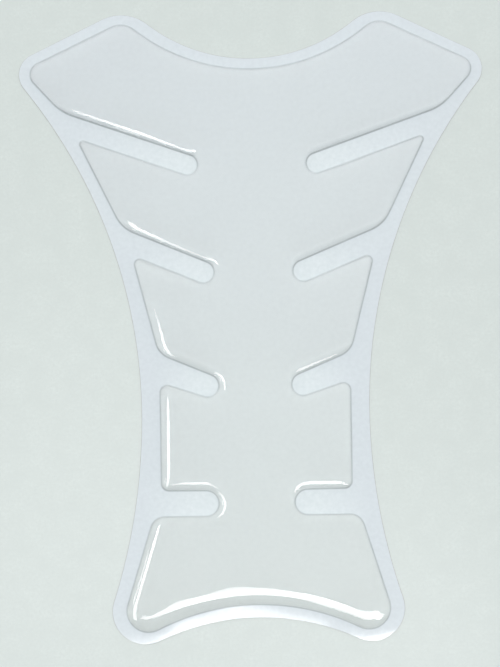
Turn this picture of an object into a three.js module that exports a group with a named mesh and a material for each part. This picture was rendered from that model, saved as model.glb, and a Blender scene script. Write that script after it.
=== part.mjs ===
// A stick-on tank pad for a motorcycle: a domed pad of clear gel with four slots in each side,
// as it is sold, lying on the thin glossy release liner that it is peeled from.
// Millimetres, +Z up, resting on z = 0. The wide end of the pad points to +Y, and the origin is
// under the middle of the liner's outline.
import * as THREE from 'three';

const linerThickness = 0.2;
const rimHeight = 0.2; // upright cut edge under the dome
const domeHeight = 1.8;
const edgeAngle = 62; // degrees, slope of the gel where the dome meets its rim
const crownAngle = 4; // degrees, slope where the dome runs out into its flat top
const domeSteps = 6; // rings between those two slopes
const chordError = 0.04; // most that a straight step may cut off a round stretch of an outline
const widestStep = 12; // degrees, most that one such step may turn
const leastRadius = 0.5; // of a corner that is carried up the dome

// The outline of one half, as discs that a belt runs round, from the foot of the pad to its top.
// x is measured from the centre line. Each disc lies a rise above the one before it, and the first
// one above the lower end of the liner. The belt passes outside a solid disc and bends in round a
// hollow one, so each hollow disc here is the end of a slot.
const foot = { x: 36.9, rise: 11.4, radius: 7.2 };
const fifthLobeTip = { x: 31.0, rise: 26.4, radius: 4.9 };
const slotFourEnd = { x: 17.0, rise: 9.2, radius: 4.3, hollow: true };
const fourthLobeHeel = { x: 29.4, rise: 6.9, radius: 2.5 };
const fourthLobeTip = { x: 29.4, rise: 30.3, radius: 2.5 };
const slotThreeEnd = { x: 16.0, rise: 2.2, radius: 3.8, hollow: true };
const thirdLobeHeel = { x: 25.9, rise: 16.3, radius: 7.4 };
const thirdLobeTip = { x: 38.0, rise: 24.6, radius: 1.8 };
const slotTwoEnd = { x: 16.8, rise: -2.9, radius: 3.6, hollow: true };
const secondLobeHeel = { x: 35.4, rise: 24.1, radius: 11.5 };
const secondLobeTip = { x: 56.4, rise: 19.3, radius: 1.1 };
const slotOneEnd = { x: 21.6, rise: -7.4, radius: 3.4, hollow: true };
const elbow = { x: 54.0, rise: 32.8, radius: 16.9 };
const shoulder = { x: 69.6, rise: -1.9, radius: 4.1 };
const horn = { x: 43.3, rise: 9.0, radius: 7.2 };
const dipDepth = 15.3; // of the pad's top edge on the centre line, below the tops of the horns
const archRise = 8.7; // of its lower edge there, above the feet

// The liner is cut to a smoother outline with larger corners, a border's width outside the pad.
const topBorder = 3.4;
const dipBorder = 3.6;
const sideBorder = 3.9;
const waistBorder = 6.3;
const footSideBorder = 4.9;
const footBorder = 4.2;
const archBorder = 4.5;
const waistHeight = 78;
const linerHornRadius = 14.4;
const linerShoulderRadius = 7.4;
const linerFootRadius = 11.1;

// The hollow disc through a point, centred from it in the direction (ux, uy), that touches a disc.
function touchingHollow(point, ux, uy, disc) {
  const dx = point.x - disc.x;
  const dy = point.y - disc.y;
  const reach = dx * dx + dy * dy - disc.radius ** 2;
  const radius = reach / (2 * (disc.radius - dx * ux - dy * uy));
  return { x: point.x + ux * radius, y: point.y + uy * radius, radius, hollow: true };
}

// A whole belt, anticlockwise: along the foot's arch, up the right side, the dip, down the left side.
function closedBelt(half, archY, dipY) {
  const arch = touchingHollow({ x: 0, y: archY }, 0, -1, half[0]);
  const dip = touchingHollow({ x: 0, y: dipY }, 0, 1, half[half.length - 1]);
  const left = half.map((disc) => ({ ...disc, x: -disc.x }));
  return [arch, ...half, dip, ...left.toReversed()];
}

// The radius counts as negative on a hollow disc, which the belt goes round the other way.
const signedRadius = (disc) => (disc.hollow ? -disc.radius : disc.radius);

// The unit vector to the left of the belt's straight run from one disc to the next.
function leftOfRun(from, to) {
  const dx = to.x - from.x;
  const dy = to.y - from.y;
  const lean = (signedRadius(to) - signedRadius(from)) / Math.hypot(dx, dy);
  const heading = Math.atan2(dy, dx) - Math.asin(THREE.MathUtils.clamp(lean, -1, 1));
  return new THREE.Vector2(-Math.sin(heading), Math.cos(heading));
}

// For each disc, the left-hand vectors of the runs that arrive at it and leave it, and the turn
// between them, which is positive to the left.
function beltTurns(belt) {
  return belt.map((disc, index) => {
    const before = belt[(index + belt.length - 1) % belt.length];
    const after = belt[(index + 1) % belt.length];
    const arriving = leftOfRun(before, disc);
    const leaving = leftOfRun(disc, after);
    return { arriving, leaving, turn: Math.atan2(arriving.cross(leaving), arriving.dot(leaving)) };
  });
}

// A half turn or more comes out of atan2 with the wrong sign, so each turn follows its disc's side.
function discTurn(disc, turn) {
  const side = disc.hollow ? -1 : 1;
  return turn * side < 0 ? turn + side * 2 * Math.PI : turn;
}

// How many steps each disc's arc gets, so that every ring of one body has the same number.
function arcCounts(belt) {
  const turns = beltTurns(belt);
  return belt.map((disc, index) => {
    const finestStep = 2 * Math.acos(1 - chordError / Math.max(disc.radius, leastRadius));
    const step = Math.min(finestStep, THREE.MathUtils.degToRad(widestStep));
    return Math.max(2, Math.ceil(Math.abs(discTurn(disc, turns[index].turn)) / step));
  });
}

// The belt as a closed row of points.
function beltPoints(belt, counts) {
  const turns = beltTurns(belt);
  return belt.flatMap((disc, index) => {
    const { arriving, turn } = turns[index];
    const sweep = discTurn(disc, turn);
    const start = Math.atan2(-arriving.y, -arriving.x) + (disc.hollow ? Math.PI : 0);
    return Array.from({ length: counts[index] + 1 }, (_, step) => {
      const angle = start + (sweep * step) / counts[index];
      return new THREE.Vector2(disc.x + disc.radius * Math.cos(angle), disc.y + disc.radius * Math.sin(angle));
    });
  });
}

// The same belt drawn in by a distance. A corner too sharp for that slides in between its two runs.
function insetBelt(belt, distance) {
  const turns = beltTurns(belt);
  return belt.map((disc, index) => {
    if (disc.hollow) return { ...disc, radius: disc.radius + distance };
    const shortfall = distance + leastRadius - disc.radius;
    if (shortfall <= 0) return { ...disc, radius: disc.radius - distance };
    const { arriving, leaving } = turns[index];
    const slide = shortfall / (1 + arriving.dot(leaving));
    return {
      x: disc.x + slide * (arriving.x + leaving.x),
      y: disc.y + slide * (arriving.y + leaving.y),
      radius: leastRadius,
    };
  });
}

// The dome is the curve that a pool of liquid has at its edge: slope against distance and height.
// Both are in capillary lengths, the distance from an edge where the liquid would stand upright.
const poolDistance = (slope) => -Math.log(Math.tan(slope / 4)) - 2 * Math.cos(slope / 2);
const poolDrop = (slope) => 2 * Math.sin(slope / 2);

// The dome's rings, each with how far it lies inside the rim and how high it stands on it.
function domeProfile() {
  const steepest = THREE.MathUtils.degToRad(edgeAngle);
  const flattest = THREE.MathUtils.degToRad(crownAngle);
  const capillaryLength = domeHeight / (poolDrop(steepest) - poolDrop(flattest));
  return Array.from({ length: domeSteps + 1 }, (_, step) => {
    const slope = THREE.MathUtils.lerp(steepest, flattest, step / domeSteps);
    return {
      inset: capillaryLength * (poolDistance(slope) - poolDistance(steepest)),
      height: capillaryLength * (poolDrop(steepest) - poolDrop(slope)),
    };
  });
}

// A closed solid through rings of equally many points, with a flat face over the first and the last.
function ringSolid(rings) {
  const count = rings[0].points.length;
  const positions = rings.flatMap(({ points, z }) => points.flatMap((point) => [point.x, point.y, z]));
  const walls = rings.slice(1).flatMap((_, ring) => {
    const low = ring * count;
    return Array.from({ length: count }, (__, here) => {
      const next = (here + 1) % count;
      return [low + here, low + next, low + count + next, low + here, low + count + next, low + count + here];
    }).flat();
  });
  const lastRing = rings.length - 1;
  const floor = THREE.ShapeUtils.triangulateShape(rings[0].points, []).flatMap(([a, b, c]) => [a, c, b]);
  const top = THREE.ShapeUtils.triangulateShape(rings[lastRing].points, []).flat();
  const geometry = new THREE.BufferGeometry();
  geometry.setAttribute('position', new THREE.Float32BufferAttribute(positions, 3));
  geometry.setIndex([...floor, ...walls, ...top.map((index) => index + lastRing * count)]);
  geometry.computeVertexNormals();
  return geometry;
}

const padHalf = [
  foot,
  fifthLobeTip,
  slotFourEnd,
  fourthLobeHeel,
  fourthLobeTip,
  slotThreeEnd,
  thirdLobeHeel,
  thirdLobeTip,
  slotTwoEnd,
  secondLobeHeel,
  secondLobeTip,
  slotOneEnd,
  elbow,
  shoulder,
  horn,
];

// Gives each disc its height above the liner's lower end.
function stackDiscs(discs) {
  let height = 0;
  for (const disc of discs) {
    height += disc.rise;
    disc.y = height;
  }
}

// Right half of the liner's outline: its corners lie a border outside the pad's, and two long arcs
// that touch them meet at the waist.
function linerHalf() {
  const linerFoot = {
    x: foot.x + foot.radius + footSideBorder - linerFootRadius,
    y: padLowEnd - footBorder + linerFootRadius,
    radius: linerFootRadius,
  };
  const linerShoulder = {
    x: shoulder.x + shoulder.radius + sideBorder - linerShoulderRadius,
    y: shoulder.y,
    radius: linerShoulderRadius,
  };
  const linerHorn = {
    x: horn.x,
    y: padTopEnd + topBorder - linerHornRadius,
    radius: linerHornRadius,
  };
  const waist = { x: fourthLobeHeel.x + fourthLobeHeel.radius + waistBorder, y: waistHeight };
  const lowerFlank = touchingHollow(waist, 1, 0, linerFoot);
  const upperFlank = touchingHollow(waist, 1, 0, linerShoulder);
  return [linerFoot, lowerFlank, upperFlank, linerShoulder, linerHorn];
}

function makeReleaseLiner(half) {
  const belt = closedBelt(half, archHeight - archBorder, dipHeight + dipBorder);
  const shape = new THREE.Shape(beltPoints(belt, arcCounts(belt)));
  const geometry = new THREE.ExtrudeGeometry(shape, { depth: linerThickness, bevelEnabled: false });
  const material = new THREE.MeshStandardMaterial({ color: 0xd8dee3, roughness: 0.15, metalness: 0 });
  const mesh = new THREE.Mesh(geometry, material);
  mesh.name = 'release_liner';
  return mesh;
}

function makeGelPad() {
  const belt = closedBelt(padHalf, archHeight, dipHeight);
  const counts = arcCounts(belt);
  const base = { points: beltPoints(belt, counts), z: 0 };
  const dome = domeProfile().map(({ inset, height }) => ({
    points: beltPoints(insetBelt(belt, inset), counts),
    z: rimHeight + height,
  }));
  const material = new THREE.MeshStandardMaterial({ color: 0xd6dfe2, roughness: 0.05, metalness: 0 });
  const mesh = new THREE.Mesh(ringSolid([base, ...dome]), material);
  mesh.name = 'gel_pad';
  mesh.position.z = linerThickness;
  return mesh;
}

stackDiscs(padHalf);
const padLowEnd = foot.y - foot.radius;
const padTopEnd = horn.y + horn.radius;
const archHeight = padLowEnd + archRise;
const dipHeight = padTopEnd - dipDepth;

const tankPad = new THREE.Group();
tankPad.add(makeReleaseLiner(linerHalf()), makeGelPad());
tankPad.position.y = -(padTopEnd + topBorder + padLowEnd - footBorder) / 2;

export default tankPad;
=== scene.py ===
"""Looks of a stick-on tank pad: a domed pad of clear gel lying on its glossy release liner.

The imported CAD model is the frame. Both of its nodes are replaced by finer meshes of the same form:
the gel gets the smooth curved surface that poured resin has, and the liner its cut edge.
Lengths below are in millimetres, and every mesh is written in metres.
"""

import math
from collections import namedtuple

import bpy
import numpy as np
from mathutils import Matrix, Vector
from mathutils.geometry import delaunay_2d_cdt


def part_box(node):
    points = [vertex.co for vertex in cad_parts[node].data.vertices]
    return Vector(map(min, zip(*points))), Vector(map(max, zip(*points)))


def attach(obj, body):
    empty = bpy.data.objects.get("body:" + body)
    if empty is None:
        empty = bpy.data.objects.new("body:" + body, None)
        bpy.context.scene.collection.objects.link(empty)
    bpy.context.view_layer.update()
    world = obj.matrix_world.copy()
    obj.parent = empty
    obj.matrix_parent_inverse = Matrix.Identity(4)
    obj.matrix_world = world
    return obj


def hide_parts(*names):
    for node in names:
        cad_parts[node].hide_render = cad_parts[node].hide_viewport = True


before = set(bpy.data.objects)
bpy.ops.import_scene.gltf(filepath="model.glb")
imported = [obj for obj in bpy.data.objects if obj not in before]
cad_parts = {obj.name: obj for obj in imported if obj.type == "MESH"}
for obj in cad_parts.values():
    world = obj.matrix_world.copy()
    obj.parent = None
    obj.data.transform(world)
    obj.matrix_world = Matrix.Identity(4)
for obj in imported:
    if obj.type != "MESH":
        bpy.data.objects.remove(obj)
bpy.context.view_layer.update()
LINER_LOW, LINER_HIGH = (np.array(corner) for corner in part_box("release_liner"))
GEL_LOW, GEL_HIGH = (np.array(corner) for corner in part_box("gel_pad"))


def srgb(red, green, blue):
    """A colour given in 0 to 255, as the linear values that sockets hold."""
    values = [channel / 255 for channel in (red, green, blue)]
    return tuple(v / 12.92 if v <= 0.04045 else ((v + 0.055) / 1.055) ** 2.4 for v in values)


MM = 0.001
LINER_TOP = LINER_HIGH[2] / MM
GEL_HEIGHT = (GEL_HIGH[2] - GEL_LOW[2]) / MM
SHIFT = np.array([0.0, LINER_LOW[1] / MM])  # puts an outline measured from the liner's lower end in place

# Outline of one half of the pad, as discs that a belt runs round, from the foot to the top. x is
# measured from the centre line, and rise from the disc before it, the first one from the lower end
# of the liner. The belt bends in round a hollow disc, so each hollow disc is the end of a slot.
PAD_DISCS = [
    dict(x=36.9, rise=11.4, radius=7.2),
    dict(x=31.0, rise=26.4, radius=4.9),
    dict(x=17.0, rise=9.2, radius=4.3, hollow=True),
    dict(x=29.4, rise=6.9, radius=2.5),
    dict(x=29.4, rise=30.3, radius=2.5),
    dict(x=16.0, rise=2.2, radius=3.8, hollow=True),
    dict(x=25.9, rise=16.3, radius=7.4),
    dict(x=38.0, rise=24.6, radius=1.8),
    dict(x=16.8, rise=-2.9, radius=3.6, hollow=True),
    dict(x=35.4, rise=24.1, radius=11.5),
    dict(x=56.4, rise=19.3, radius=1.1),
    dict(x=21.6, rise=-7.4, radius=3.4, hollow=True),
    dict(x=54.0, rise=32.8, radius=16.9),
    dict(x=69.6, rise=-1.9, radius=4.1),
    dict(x=43.3, rise=9.0, radius=7.2),
]
DIP_DEPTH = 15.3  # of the pad's top edge on the centre line, below the tops of the horns
ARCH_RISE = 8.7  # of its lower edge there, above the feet

# The liner's border outside the pad, and the radii of its corners.
TOP_BORDER = 3.4
DIP_BORDER = 3.6
SIDE_BORDER = 3.9
WAIST_BORDER = 6.3
FOOT_SIDE_BORDER = 4.9
FOOT_BORDER = 4.2
ARCH_BORDER = 4.5
WAIST_HEIGHT = 78
WAIST_DISC = 3  # the disc of the pad's outline beside the waist
LINER_HORN_RADIUS = 14.4
LINER_SHOULDER_RADIUS = 7.4
LINER_FOOT_RADIUS = 11.1
LINER_BEVEL = 0.12  # pressed into the upper edge by the cutting die

# The dome: the curve of a pool of liquid at its edge, above an upright cut edge.
RIM_HEIGHT = 0.2
EDGE_ANGLE = math.radians(62)
FLAT_ANGLE = 0.001  # in radians, where the curve counts as level
PROFILE_STEPS = 600
LEAST_RADIUS = 0.5  # of a corner that is carried up the dome
DOME_RINGS = 30
DOME_REACH = 5.5  # from the edge to the innermost ring
RING_CROWDING = 1.5  # how much closer the rings lie near the edge
STEP = 0.7  # along an outline
STEP_TURN = math.radians(5)
TOUCHING = 1e-6  # a run or gap shorter than this is none
FILL_ONLY = 1  # has delaunay_2d_cdt give only the triangles inside the first loop
TOP_GRID = 2.4  # between the points of the flat top
LINER_GRID = 1.2
CONTACT = 0.02  # the liner stands into the gel by this, so that no air is left between the two
TINY = 1e-12  # in place of a zero that would be divided by
SOLVER_ROUNDS = 4000  # at most
SOLVER_REST = 1e-14  # the share of the first error at which the solver stops
HIGHEST_LEVEL = 1 - 1e-7  # short of 1, whose logarithm would be endless
LOOP_PART = 100  # points of a loop that are compared at once

# The painted shade along the gel's base: distance inside the edge, and its strength there. The shade is
# full where the edge faces the foot of the pad, weaker at the sides and the top, and weakest in the slots
# where the edge faces the top, since the gel across the slot throws light on it.
BASE_SHADE = ((0.0, 0.95), (0.25, 0.75), (0.6, 0.1), (1.3, 0.0))
SIDE_STRENGTH = 0.68
TURN_STRENGTH = 0.32
GLOW_GAIN = 2  # how soon a slot's painted light has its full effect on the painted shade
BASE_SHADE_SPILL = 0.4  # how far the painted shade runs out over the bare liner

# Each pair of tones is mixed by fine noise.
LINER_TONES = (srgb(221, 230, 235), srgb(226, 235, 240))
# lighter tones of the painted light in the slots
SLOT_LIGHT_TONES = (srgb(228, 238, 241), srgb(235, 244, 247))
# Tones of the sheet under the gel at the pad's foot and top; the step between them is painted light.
FOOT_TONES = (srgb(231, 237, 236), srgb(234, 240, 239))
TOP_TONES = (srgb(239, 245, 248), srgb(242, 248, 251))
# grey of the painted shade along the gel's base
BASE_SHADE_TONE = srgb(176, 184, 187)
# the cut core's grey, partly painted shade along the sheet's edge
CUT_AND_SHADE_TONES = (srgb(176, 172, 172), srgb(196, 193, 192))
TABLE_TONES = (srgb(218, 227, 224), srgb(224, 233, 230))
TABLE_GRAIN = srgb(216, 225, 222)
GEL_TINTS = ((0.985, 0.992, 0.995), (0.985, 0.998, 0.99))
GEL_IOR = 1.49
TABLE_SIDE = 1400
BARE, COVERED, CUT = range(3)  # the liner's materials: open to the air, under the gel, cut edge
MIX_FIRST, MIX_SECOND, MIX_RESULT = 6, 7, 2  # a Mix node's colour sockets, whose names aren't unique

# Brightness of the room against how far a direction points to +Y, from -1 to 1, and as the camera
# sees it behind the table.
ROOM_BANDS = (
    (-1.0, 0.1),
    (-0.72, 0.1),
    (-0.5, 0.85),
    (-0.36, 1.6),
    (-0.16, 1.0),
    (0.05, 0.95),
    (0.5, 1.05),
    (0.8, 1.05),
    (1.0, 1.2),
)
ROOM_SEEN = 0.85

# The lamps round the table. A positive twist lifts the end nearer to the pad's foot on the left, and
# the right-hand end on the near side.
LEFT_PANELS = (
    dict(name="left_far", centre=(-330, -196, 548), size=(156, 160), twist=-41, radiance=8),
    dict(name="left_high", centre=(-170, -143, 258), size=(234, 114), twist=-26, radiance=8),
    dict(name="left_inner", centre=(-125, -52, 201), size=(89, 52), twist=-21, radiance=9),
    dict(name="left_low", centre=(-156, -107, 126), size=(31, 36), twist=-31, radiance=9),
)
NEAR_PANELS = (
    dict(name="near_left", centre=(-81, -194, 210), size=(24, 39), twist=-13, radiance=7.5),
    dict(name="near_high", centre=(19, -231, 293), size=(191, 96), twist=-18, radiance=7.5),
    dict(name="near_middle", centre=(-17, -194, 242), size=(93, 62), twist=54, radiance=7.5),
    dict(name="near_right", centre=(34, -193, 195), size=(54, 116), twist=18, radiance=7.5),
    dict(name="near_far_right", centre=(85, -166, 123), size=(42, 83), twist=24, radiance=12),
)

# The photograph, looked at from straight above.
PIXEL = 0.335  # of the table
IMAGE_HEIGHT = 667  # in pixels
VIEW_CENTRE = (-1.5, -1.8)
VIEW_ROLL = math.radians(-0.9)
CAMERA_HEIGHT = 260
SENSOR = 24
NEAREST_SEEN = 10

Disc = namedtuple("Disc", "x y radius hollow")


def stacked(discs):
    """The discs at their heights above the liner's lower end."""
    placed, height = [], 0.0
    for disc in discs:
        height += disc["rise"]
        placed.append(Disc(disc["x"], height, disc["radius"], disc.get("hollow", False)))
    return placed


def touching_hollow(x, y, ux, uy, disc):
    """The hollow disc through a point, centred from it along (ux, uy), that touches a disc."""
    dx, dy = x - disc.x, y - disc.y
    radius = (dx * dx + dy * dy - disc.radius**2) / (2 * (disc.radius - dx * ux - dy * uy))
    return Disc(x + ux * radius, y + uy * radius, radius, True)


def closed_belt(half, arch_y, dip_y):
    """Anticlockwise: the foot's arch, up the right side, the dip, and down the left side."""
    arch = touching_hollow(0, arch_y, 0, -1, half[0])
    dip = touching_hollow(0, dip_y, 0, 1, half[-1])
    left = [disc._replace(x=-disc.x) for disc in reversed(half)]
    return [arch, *half, dip, *left]


def liner_half(pad_half, low_end, top_end):
    """The liner's discs on one half, set off from the pad's by the borders."""
    foot, waist, shoulder, horn = (pad_half[i] for i in (0, WAIST_DISC, -2, -1))
    foot_x = foot.x + foot.radius + FOOT_SIDE_BORDER - LINER_FOOT_RADIUS
    foot_y = low_end - FOOT_BORDER + LINER_FOOT_RADIUS
    shoulder_x = shoulder.x + shoulder.radius + SIDE_BORDER - LINER_SHOULDER_RADIUS
    horn_y = top_end + TOP_BORDER - LINER_HORN_RADIUS
    waist_x = waist.x + waist.radius + WAIST_BORDER
    liner_foot = Disc(foot_x, foot_y, LINER_FOOT_RADIUS, False)
    liner_shoulder = Disc(shoulder_x, shoulder.y, LINER_SHOULDER_RADIUS, False)
    liner_horn = Disc(horn.x, horn_y, LINER_HORN_RADIUS, False)
    lower_flank = touching_hollow(waist_x, WAIST_HEIGHT, 1, 0, liner_foot)
    upper_flank = touching_hollow(waist_x, WAIST_HEIGHT, 1, 0, liner_shoulder)
    return [liner_foot, lower_flank, upper_flank, liner_shoulder, liner_horn]


def both_belts(pad_half):
    """The closed belts of the pad and of its liner."""
    low_end = pad_half[0].y - pad_half[0].radius
    top_end = pad_half[-1].y + pad_half[-1].radius
    arch_y, dip_y = low_end + ARCH_RISE, top_end - DIP_DEPTH
    pad = closed_belt(pad_half, arch_y, dip_y)
    liner = closed_belt(liner_half(pad_half, low_end, top_end), arch_y - ARCH_BORDER, dip_y + DIP_BORDER)
    return pad, liner


def signed_radius(disc):
    return -disc.radius if disc.hollow else disc.radius


def left_of_run(start, end):
    """The unit vector to the left of the belt's straight run between two discs."""
    dx, dy = end.x - start.x, end.y - start.y
    lean = (signed_radius(end) - signed_radius(start)) / math.hypot(dx, dy)
    heading = math.atan2(dy, dx) - math.asin(max(-1.0, min(1.0, lean)))
    return Vector((-math.sin(heading), math.cos(heading)))


def belt_turns(belt):
    """For each disc, the left-hand vectors of the runs before and after it, and the turn between."""
    runs = [left_of_run(disc, belt[(i + 1) % len(belt)]) for i, disc in enumerate(belt)]
    turns = []
    for i, disc in enumerate(belt):
        before, after = runs[i - 1], runs[i]
        turn = math.atan2(before.x * after.y - before.y * after.x, before.dot(after))
        side = -1 if disc.hollow else 1
        if turn * side < 0:
            turn += side * 2 * math.pi
        turns.append((before, after, turn))
    return turns


def step_counts(belt):
    """How many steps each disc's arc and the run after it get."""
    turns = belt_turns(belt)
    counts = []
    for i, disc in enumerate(belt):
        after = belt[(i + 1) % len(belt)]
        turn = abs(turns[i][2])
        gap = math.hypot(after.x - disc.x, after.y - disc.y)
        run = math.sqrt(max(gap**2 - (signed_radius(after) - signed_radius(disc)) ** 2, 0.0))
        arc = max(2, math.ceil(turn / STEP_TURN), math.ceil(turn * disc.radius / STEP))
        counts.append((arc, math.ceil(run / STEP) if run > TOUCHING else 0))
    return counts


def belt_points(belt, counts):
    """The belt as a closed row of points, none of them twice."""
    turns = belt_turns(belt)
    arcs = []
    for disc, (before, _, turn), (steps, _) in zip(belt, turns, counts):
        start = math.atan2(-before.y, -before.x) + (math.pi if disc.hollow else 0.0)
        angle = start + turn * np.arange(steps + 1) / steps
        around = np.stack([np.cos(angle), np.sin(angle)], 1)
        arcs.append((disc.x, disc.y) + disc.radius * around)
    rows = []
    for i, arc in enumerate(arcs):
        after = arcs[(i + 1) % len(arcs)][0]
        steps = counts[i][1]
        share = np.arange(1, steps)[:, None] / max(1, steps)
        rows += [arc if steps else arc[:-1], arc[-1] + share * (after - arc[-1])]
    return np.concatenate(rows)


def inset_belt(belt, distance):
    """The belt drawn in. A corner too sharp for that slides in between its two runs."""
    drawn = []
    for disc, (before, after, _) in zip(belt, belt_turns(belt)):
        shortfall = distance + LEAST_RADIUS - disc.radius
        if disc.hollow:
            drawn.append(disc._replace(radius=disc.radius + distance))
        elif shortfall <= 0:
            drawn.append(disc._replace(radius=disc.radius - distance))
        else:
            slide = (before + after) * (shortfall / (1 + before.dot(after)))
            drawn.append(Disc(disc.x + slide.x, disc.y + slide.y, LEAST_RADIUS, False))
    return drawn


def inside(points, loop):
    """True for each point that lies inside a closed row of points."""
    x, y = points[:, 0:1], points[:, 1:2]
    ax, ay = loop[:, 0], loop[:, 1]
    bx, by = np.roll(ax, -1), np.roll(ay, -1)
    rises = by - ay
    rises[rises == 0] = TINY
    spans = (ay > y) != (by > y)
    crossings = spans & (x < ax + (y - ay) * (bx - ax) / rises)
    return crossings.sum(1) % 2 == 1


def distance_to(points, loop):
    """How far each point lies from the nearest point of a closed row of points."""
    nearest = np.full(len(points), np.inf)
    for part in np.array_split(loop, max(1, len(loop) // LOOP_PART)):
        gaps = np.hypot(points[:, 0:1] - part[:, 0], points[:, 1:2] - part[:, 1])
        nearest = np.minimum(nearest, gaps.min(1))
    return nearest


def grid_inside(loop, spacing, holes=()):
    """Points of a triangular grid inside a loop and outside the holes, half a spacing clear of all."""
    low, high = loop.min(0), loop.max(0)
    row_gap = spacing * math.sqrt(3) / 2
    rows = np.arange(low[1], high[1], row_gap)
    columns = np.arange(low[0], high[0], spacing)
    x, y = np.meshgrid(columns, rows)
    x[1::2] += spacing / 2
    points = np.stack([x.ravel(), y.ravel()], 1)
    points = points[inside(points, loop)]
    points = points[distance_to(points, loop) > spacing / 2]
    for hole in holes:
        points = points[~inside(points, hole)]
        points = points[distance_to(points, hole) > spacing / 2]
    return points


def triangulated(loops, loose=()):
    """Triangles that fill the first loop, with the other loops as edges and the loose points used."""
    points = np.concatenate([*loops, loose]) if len(loose) else np.concatenate(loops)
    edges, first = [], 0
    for loop in loops:
        count = len(loop)
        edges += [(first + i, first + (i + 1) % count) for i in range(count)]
        first += count
    coordinates = [Vector((float(x), float(y))) for x, y in points]
    outer = [list(range(len(loops[0])))]
    _, _, faces, origins, _, _ = delaunay_2d_cdt(coordinates, edges, outer, FILL_ONLY, TOUCHING)
    back = [source[0] if source else -1 for source in origins]
    return np.array([[back[i] for i in face] for face in faces]), points


def pool_profile(height):
    """Distance from the edge against height on the dome, for a pool that ends at EDGE_ANGLE."""
    slopes = np.linspace(EDGE_ANGLE, FLAT_ANGLE, PROFILE_STEPS)
    capillary = height / (2 * math.sin(EDGE_ANGLE / 2))
    reach = -np.log(np.tan(slopes / 4)) - 2 * np.cos(slopes / 2)
    heights = capillary * (2 * math.sin(EDGE_ANGLE / 2) - 2 * np.sin(slopes / 2))
    return capillary, capillary * (reach - reach[0]), heights


def laplacian(points, triangles, length):
    """Pairs of points with their weights, and each point's area and the sum of both on it."""
    a, b, c = (points[triangles[:, i]] for i in range(3))
    doubled = (b[:, 0] - a[:, 0]) * (c[:, 1] - a[:, 1]) - (b[:, 1] - a[:, 1]) * (c[:, 0] - a[:, 0])
    doubled = np.maximum(np.abs(doubled), TINY)
    cotangents = [((q - p) * (r - p)).sum(1) / doubled for p, q, r in ((a, b, c), (b, c, a), (c, a, b))]
    pairs = ((1, 2), (2, 0), (0, 1))
    rows = np.concatenate([triangles[:, i] for i, _ in pairs])
    columns = np.concatenate([triangles[:, j] for _, j in pairs])
    weights = np.concatenate(cotangents) * length**2 / 2
    count = len(points)
    area = np.bincount(triangles.ravel(), np.repeat(doubled / 6, 3), count)
    total = area + np.bincount(rows, weights, count) + np.bincount(columns, weights, count)
    return rows, columns, weights, area, total


def fill_level(points, triangles, fixed, length):
    """Solves level - length^2 * laplacian(level) = 1 over a flat mesh, with 0 at the fixed points.

    Near a straight edge the level is 1 - exp(-distance / length), so it gives a smooth distance
    from the edge that has no ridge behind a corner. The method is that of conjugate gradients.
    """
    rows, columns, weights, area, total = laplacian(points, triangles, length)
    count = len(points)

    def applied(level):
        spread = np.bincount(rows, weights * level[columns], count)
        spread += np.bincount(columns, weights * level[rows], count)
        return np.where(fixed, 0.0, total * level - spread)

    level = np.zeros(count)
    residual = np.where(fixed, 0.0, area)
    search = residual / total
    energy = residual @ search
    target = energy * SOLVER_REST
    for _ in range(SOLVER_ROUNDS):
        image = applied(search)
        stride = energy / (search @ image)
        level += stride * search
        residual -= stride * image
        if energy < target:
            break
        scaled = residual / total
        energy, before = residual @ scaled, energy
        search = scaled + search * (energy / before)
    return np.clip(level, 0.0, HIGHEST_LEVEL)


def new_object(name, verts, faces, materials, face_slots=None, smooth=True):
    """A mesh object at the origin from points in millimetres."""
    mesh = bpy.data.meshes.new(name)
    mesh.from_pydata((np.asarray(verts) * MM).tolist(), [], [list(map(int, face)) for face in faces])
    for material in materials:
        mesh.materials.append(material)
    if face_slots is not None:
        mesh.polygons.foreach_set("material_index", np.asarray(face_slots, dtype=np.int32))
    mesh.polygons.foreach_set("use_smooth", np.full(len(faces), smooth))
    mesh.validate()
    mesh.update()
    thing = bpy.data.objects.new(name, mesh)
    bpy.context.scene.collection.objects.link(thing)
    return thing


def with_height(points, z):
    """Flat points raised to one height, or each to its own."""
    return np.column_stack([points, np.broadcast_to(z, len(points))])


def ring_faces(low, high, count):
    """Quads between two rings of equally many points, given by their first indices."""
    here = np.arange(count)
    after = (here + 1) % count
    return np.stack([low + here, low + after, high + after, high + here], 1)


def dome_heights(flat, triangles, edge_count):
    """The dome's height above its rim at each point of a flat mesh, whose first points are the edge."""
    capillary, reach, heights = pool_profile(GEL_HEIGHT - RIM_HEIGHT)
    fixed = np.arange(len(flat)) < edge_count
    level = fill_level(flat, triangles, fixed, capillary)
    return np.interp(-capillary * np.log(1 - level), reach, heights)


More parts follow.
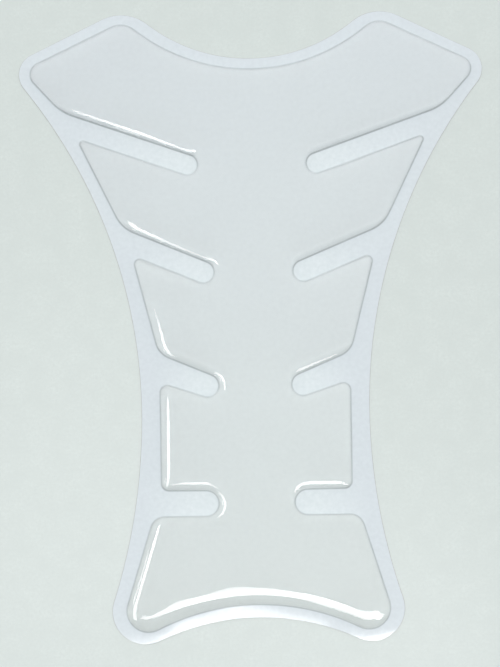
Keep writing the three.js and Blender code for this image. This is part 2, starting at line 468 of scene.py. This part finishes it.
def make_gel(belt, materials):
    """The pad: upright rim, dome and a flat underside that the liner stands into."""
    counts = step_counts(belt)
    insets = DOME_REACH * (np.arange(DOME_RINGS + 1) / DOME_RINGS) ** RING_CROWDING
    rings = [belt_points(inset_belt(belt, inset), counts) for inset in insets]
    count = len(rings[0])
    crown, crown_points = triangulated([rings[-1]], grid_inside(rings[-1], TOP_GRID))
    flat = np.concatenate([*rings[:-1], crown_points])
    walls = np.concatenate([ring_faces(k * count, (k + 1) * count, count) for k in range(DOME_RINGS)])
    crown = crown + DOME_RINGS * count
    triangles = np.concatenate([walls[:, [0, 1, 2]], walls[:, [0, 2, 3]], crown])
    z = dome_heights(flat, triangles, count)
    dome = with_height(flat + SHIFT, LINER_TOP + RIM_HEIGHT + z)
    base = with_height(rings[0] + SHIFT, LINER_TOP)
    underside, _ = triangulated([rings[0]])
    faces = [*(walls + count), *(crown + count), *ring_faces(0, count, count), *underside[:, ::-1]]
    gel = new_object("gel", np.concatenate([base, dome]), faces, materials)
    sharp = {frozenset((i, (i + 1) % count)) for i in range(count)}
    for edge in gel.data.edges:
        edge.use_edge_sharp = frozenset(edge.vertices) in sharp
    return gel


def base_shade_strength(loop, glow):
    """How strong the painted shade along the pad's edge is at each of its points."""
    along = np.roll(loop, -1, 0) - np.roll(loop, 1, 0)
    footward = along[:, 0] / np.hypot(along[:, 0], along[:, 1])
    footward[footward < 0] *= np.clip(GLOW_GAIN * glow[footward < 0], 0, 1)
    return SIDE_STRENGTH + TURN_STRENGTH * footward


def slot_glow(points, half):
    """1 at the inner end of a slot, falling to 0 at its mouth: where light is painted, since the gel
    round it throws light there.
    """
    glow = np.zeros(len(points))
    for before, disc in zip(half, half[1:]):
        if disc.hollow:
            fade = math.hypot(before.x - disc.x, before.y - disc.y)
            gap = np.hypot(np.abs(points[:, 0]) - disc.x, points[:, 1] - disc.y) - disc.radius
            glow = np.maximum(glow, np.clip(1 - gap / fade, 0, 1))
    return glow


def paint(thing, name, values):
    """Holds a value at each point of a mesh, for a material to read."""
    attribute = thing.data.attributes.new(name, "FLOAT", "POINT")
    attribute.data.foreach_set("value", np.concatenate(values).astype(np.float32))


def bare_top(outline, hole):
    """Triangles of the liner's top between its outline and the pad, and their points."""
    faces, points = triangulated([outline, hole], grid_inside(outline, LINER_GRID, [hole]))
    return faces[~inside(points[faces].mean(1), hole)], points


def make_liner(belt, pad_belt, pad_half, materials):
    """The sheet: its top is bare outside the pad, covered inside it, and its cut edge is bevelled."""
    counts, pad_counts = step_counts(belt), step_counts(pad_belt)
    outer = belt_points(belt, counts)
    inner = belt_points(inset_belt(belt, LINER_BEVEL), counts)
    spill = belt_points(inset_belt(pad_belt, -BASE_SHADE_SPILL), pad_counts)
    rings = [belt_points(inset_belt(pad_belt, inset), pad_counts) for inset, _ in BASE_SHADE]
    bare, bare_points = bare_top(inner, spill)
    under, _ = triangulated([outer])
    middle, _ = triangulated([rings[-1]])
    rows = [
        with_height(outer, 0),
        with_height(outer, LINER_TOP - LINER_BEVEL),
        with_height(bare_points, LINER_TOP),
        with_height(rings[0], LINER_TOP),
        *(with_height(ring, LINER_TOP + CONTACT) for ring in rings),
    ]
    first = np.cumsum([0] + [len(row) for row in rows])
    edge, rim, last = len(outer), len(spill), len(rows) - 1
    parts = [
        (under[:, ::-1], BARE),
        (ring_faces(first[0], first[1], edge), CUT),
        (ring_faces(first[1], first[2], edge), CUT),
        (bare + first[2], BARE),
        (ring_faces(first[2] + edge, first[3], rim), BARE),
        *((ring_faces(first[k], first[k + 1], rim), COVERED) for k in range(3, last)),
        (middle + first[last], COVERED),
    ]
    faces = [face for group, _ in parts for face in group]
    slots = np.concatenate([np.full(len(group), slot) for group, slot in parts])
    verts = np.concatenate(rows)
    verts[:, :2] = np.clip(verts[:, :2] + SHIFT, LINER_LOW[:2] / MM, LINER_HIGH[:2] / MM)
    liner = new_object("liner", verts, faces, materials, slots, smooth=False)
    # the painted light in the slots, which also weakens the painted shade there
    rim_glow = slot_glow(rings[0], pad_half)
    full = base_shade_strength(rings[0], rim_glow)
    # the painted shade along the gel's base, at the liner's points
    line = [np.zeros(first[3]), full, *(full * strength for _, strength in BASE_SHADE)]
    glow = [np.zeros(first[2]), slot_glow(bare_points, pad_half), rim_glow, np.zeros(rim * len(rings))]
    paint(liner, "painted_base_shade", line)
    paint(liner, "slot_glow", glow)
    return liner


class Nodes:
    """Short calls that add nodes to one material and link them."""

    def __init__(self, name):
        self.material = bpy.data.materials.new(name)
        self.material.use_nodes = True
        self.tree = self.material.node_tree
        self.tree.nodes.clear()
        self.out = self.add("ShaderNodeOutputMaterial")

    def add(self, kind, **settings):
        node = self.tree.nodes.new(kind)
        for key, value in settings.items():
            setattr(node, key, value)
        return node

    def link(self, source, target):
        self.tree.links.new(source, target)

    def place(self):
        """The point in the object's frame, in metres."""
        return self.add("ShaderNodeTexCoord").outputs["Object"]

    def along_pad(self, start, end):
        """0 to 1 between two places up the pad, in metres."""
        split = self.add("ShaderNodeSeparateXYZ")
        self.link(self.place(), split.inputs["Vector"])
        return self.ranged(split.outputs["Y"], 0.0, 1.0, start, end)

    def noise(self, size, detail=2.0, roughness=0.5):
        """Noise whose blobs are about size millimetres across."""
        node = self.add("ShaderNodeTexNoise")
        node.inputs["Scale"].default_value = 1 / (size * MM)
        node.inputs["Detail"].default_value = detail
        node.inputs["Roughness"].default_value = roughness
        self.link(self.place(), node.inputs["Vector"])
        return node.outputs["Fac"]

    def ranged(self, source, low, high, start=0.3, end=0.7):
        """The source drawn out from start and end, where most of a noise lies, to low and high."""
        node = self.add("ShaderNodeMapRange")
        for socket, value in zip(("From Min", "From Max", "To Min", "To Max"), (start, end, low, high)):
            node.inputs[socket].default_value = value
        self.link(source, node.inputs["Value"])
        return node.outputs["Result"]

    def fibres(self):
        """The paper's faint mottling, from 0 to 1."""
        return self.ranged(self.noise(size=1.4, detail=4.0), 0.0, 1.0)

    def mixed(self, factor, first, second):
        node = self.add("ShaderNodeMix", data_type="RGBA")
        self.link(factor, node.inputs["Factor"])
        for index, value in ((MIX_FIRST, first), (MIX_SECOND, second)):
            if isinstance(value, tuple):
                node.inputs[index].default_value = (*value, 1.0)
            else:
                self.link(value, node.inputs[index])
        return node.outputs[MIX_RESULT]

    def painted(self, name):
        """A value that the mesh holds at its points."""
        return self.add("ShaderNodeAttribute", attribute_name=name).outputs["Fac"]

    def bump(self, height, depth):
        """A bump whose full range of height is depth millimetres."""
        node = self.add("ShaderNodeBump")
        node.inputs["Distance"].default_value = depth * MM
        self.link(height, node.inputs["Height"])
        return node.outputs["Normal"]

    def finished(self, **values):
        """The material, with these values or links on a Principled shader's sockets."""
        shader = self.add("ShaderNodeBsdfPrincipled")
        for name, value in values.items():
            socket = shader.inputs[name.replace("_", " ")]
            if isinstance(value, bpy.types.NodeSocket):
                self.link(value, socket)
            else:
                socket.default_value = value
        self.link(shader.outputs["BSDF"], self.out.inputs["Surface"])
        return self.material


def gel_material():
    """Clear gel with a faint drift of tint and gloss, as poured resin has."""
    nodes = Nodes("clear_gel")
    return nodes.finished(
        Base_Color=nodes.mixed(nodes.noise(size=60), *GEL_TINTS),
        Roughness=nodes.ranged(nodes.noise(size=9), 0.015, 0.035),
        IOR=GEL_IOR,
        Transmission_Weight=1.0,
        Normal=nodes.bump(nodes.noise(size=18, detail=1.0), depth=0.002),
    )


def bare_liner_material():
    """Glossy coated paper, with painted light in the slots and a painted shade along the foot of the gel.
    """
    nodes = Nodes("coated_liner")
    fibres = nodes.fibres()
    paper = nodes.mixed(fibres, *LINER_TONES)
    lit = nodes.mixed(fibres, *SLOT_LIGHT_TONES)
    colour = nodes.mixed(nodes.painted("slot_glow"), paper, lit)
    return nodes.finished(
        # painted shade along the foot of the gel
        Base_Color=nodes.mixed(nodes.painted("painted_base_shade"), colour, BASE_SHADE_TONE),
        Roughness=nodes.ranged(nodes.noise(size=3.0), 0.05, 0.09),
        Specular_IOR_Level=0.5,
        Normal=nodes.bump(nodes.noise(size=0.9), depth=0.0005),
    )


def covered_liner_material():
    """The same sheet under the gel: it has no gloss of its own, and painted light makes it lighter up the
    pad.
    """
    nodes = Nodes("liner_under_gel")
    fibres = nodes.fibres()
    foot = nodes.mixed(fibres, *FOOT_TONES)
    top = nodes.mixed(fibres, *TOP_TONES)
    # painted light: lighter towards the top of the pad
    colour = nodes.mixed(nodes.along_pad(GEL_LOW[1], GEL_HIGH[1]), foot, top)
    return nodes.finished(
        # painted shade along the foot of the gel, seen through it
        Base_Color=nodes.mixed(nodes.painted("painted_base_shade"), colour, BASE_SHADE_TONE),
        Roughness=nodes.ranged(nodes.noise(size=3.0), 0.10, 0.18),
        Specular_IOR_Level=0.0,
    )


def cut_edge_material():
    """The paper's uncoated core, shown where it was cut; its dark grey is partly painted shade, for the
    thin shadow along the sheet's edge.
    """
    nodes = Nodes("liner_cut_edge")
    fibres = nodes.ranged(nodes.noise(size=2.5, detail=3.0), 0.0, 1.0)
    return nodes.finished(
        Base_Color=nodes.mixed(fibres, *CUT_AND_SHADE_TONES),
        Roughness=nodes.ranged(nodes.noise(size=0.8), 0.6, 0.8),
        Specular_IOR_Level=0.3,
    )


def table_material():
    """A pale matt table with broad patches and a fine grain."""
    nodes = Nodes("table")
    patches = nodes.ranged(nodes.noise(size=7.0, detail=3.0), 0.0, 1.0)
    grain = nodes.ranged(nodes.noise(size=1.1, detail=3.0, roughness=0.7), 0.0, 1.0)
    return nodes.finished(
        Base_Color=nodes.mixed(grain, TABLE_GRAIN, nodes.mixed(patches, *TABLE_TONES)),
        Roughness=0.55,
        Normal=nodes.bump(nodes.noise(size=0.8, detail=3.0), depth=0.02),
    )


def make_table():
    """The square top that the liner lies on. It is staging, not part of the object."""
    half = TABLE_SIDE / 2
    corners = [(-half, -half, 0), (half, -half, 0), (half, half, 0), (-half, half, 0)]
    new_object("table_top", corners, [(0, 1, 2, 3)], [table_material()], smooth=False)


def add_panel(name, centre, away, size, twist, radiance):
    """A rectangular light that only glossy surfaces show, with its back towards away."""
    width, height = (side * MM for side in size)
    data = bpy.data.lights.new(name, "AREA")
    data.shape = "RECTANGLE"
    data.size, data.size_y = width, height
    data.energy = radiance * math.pi * width * height
    panel = bpy.data.objects.new(name, data)
    panel.location = Vector(centre) * MM
    facing = Vector(away).to_track_quat("Z", "Y").to_euler()
    facing.rotate_axis("Z", math.radians(twist))
    panel.rotation_euler = facing
    panel.visible_diffuse = False
    panel.visible_transmission = False
    panel.visible_camera = False
    bpy.context.scene.collection.objects.link(panel)


def add_room():
    """Soft light from all round, banded by how far a direction points to +Y or -Y."""
    world = bpy.data.worlds.new("room")
    world.use_nodes = True
    tree = world.node_tree
    background = tree.nodes["Background"]
    direction = tree.nodes.new("ShaderNodeTexCoord")
    split = tree.nodes.new("ShaderNodeSeparateXYZ")
    place = tree.nodes.new("ShaderNodeMapRange")
    ramp = tree.nodes.new("ShaderNodeValToRGB")
    path = tree.nodes.new("ShaderNodeLightPath")
    mix = tree.nodes.new("ShaderNodeMix")
    mix.data_type = "RGBA"
    place.inputs["From Min"].default_value = -1
    stops = ramp.color_ramp.elements
    brightest = max(level for _, level in ROOM_BANDS)
    while len(stops) < len(ROOM_BANDS):
        stops.new(1.0)
    for stop, (position, level) in zip(stops, ROOM_BANDS):
        stop.position = (position + 1) / 2
        stop.color = (*[level / brightest] * 3, 1.0)
    background.inputs["Strength"].default_value = brightest
    mix.inputs[MIX_SECOND].default_value = (*[ROOM_SEEN / brightest] * 3, 1.0)
    tree.links.new(direction.outputs["Generated"], split.inputs["Vector"])
    tree.links.new(split.outputs["Y"], place.inputs["Value"])
    tree.links.new(place.outputs["Result"], ramp.inputs["Fac"])
    tree.links.new(path.outputs["Is Camera Ray"], mix.inputs["Factor"])
    tree.links.new(ramp.outputs["Color"], mix.inputs[MIX_FIRST])
    tree.links.new(mix.outputs[MIX_RESULT], background.inputs["Color"])
    bpy.context.scene.world = world


def add_camera():
    """The photograph's view, straight down, whose scale holds on the table."""
    data = bpy.data.cameras.new("camera")
    data.sensor_fit = "VERTICAL"
    data.sensor_height = SENSOR
    data.lens = SENSOR * CAMERA_HEIGHT / (IMAGE_HEIGHT * PIXEL)
    data.clip_start = NEAREST_SEEN * MM
    camera = bpy.data.objects.new("camera", data)
    camera.location = Vector((*VIEW_CENTRE, CAMERA_HEIGHT)) * MM
    camera.rotation_euler = (0, 0, VIEW_ROLL)
    bpy.context.scene.collection.objects.link(camera)
    bpy.context.scene.camera = camera


def stand_for(piece, node):
    """Puts a mesh in the place of a node of the frame, on the root body."""
    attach(piece, "root")
    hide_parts(node)


pad_half = stacked(PAD_DISCS)
pad_belt, liner_belt = both_belts(pad_half)
stand_for(make_gel(pad_belt, [gel_material()]), "gel_pad")
liner_materials = [bare_liner_material(), covered_liner_material(), cut_edge_material()]
liner = make_liner(liner_belt, pad_belt, pad_half, liner_materials)
stand_for(liner, "release_liner")

make_table()
add_room()
for panel in LEFT_PANELS:
    add_panel(away=(-1, 0, 0), **panel)
for panel in NEAR_PANELS:
    add_panel(away=(0, -1, 0), **panel)
add_camera()

scene = bpy.context.scene
scene.view_settings.view_transform = "Standard"
scene.view_settings.look = "None"
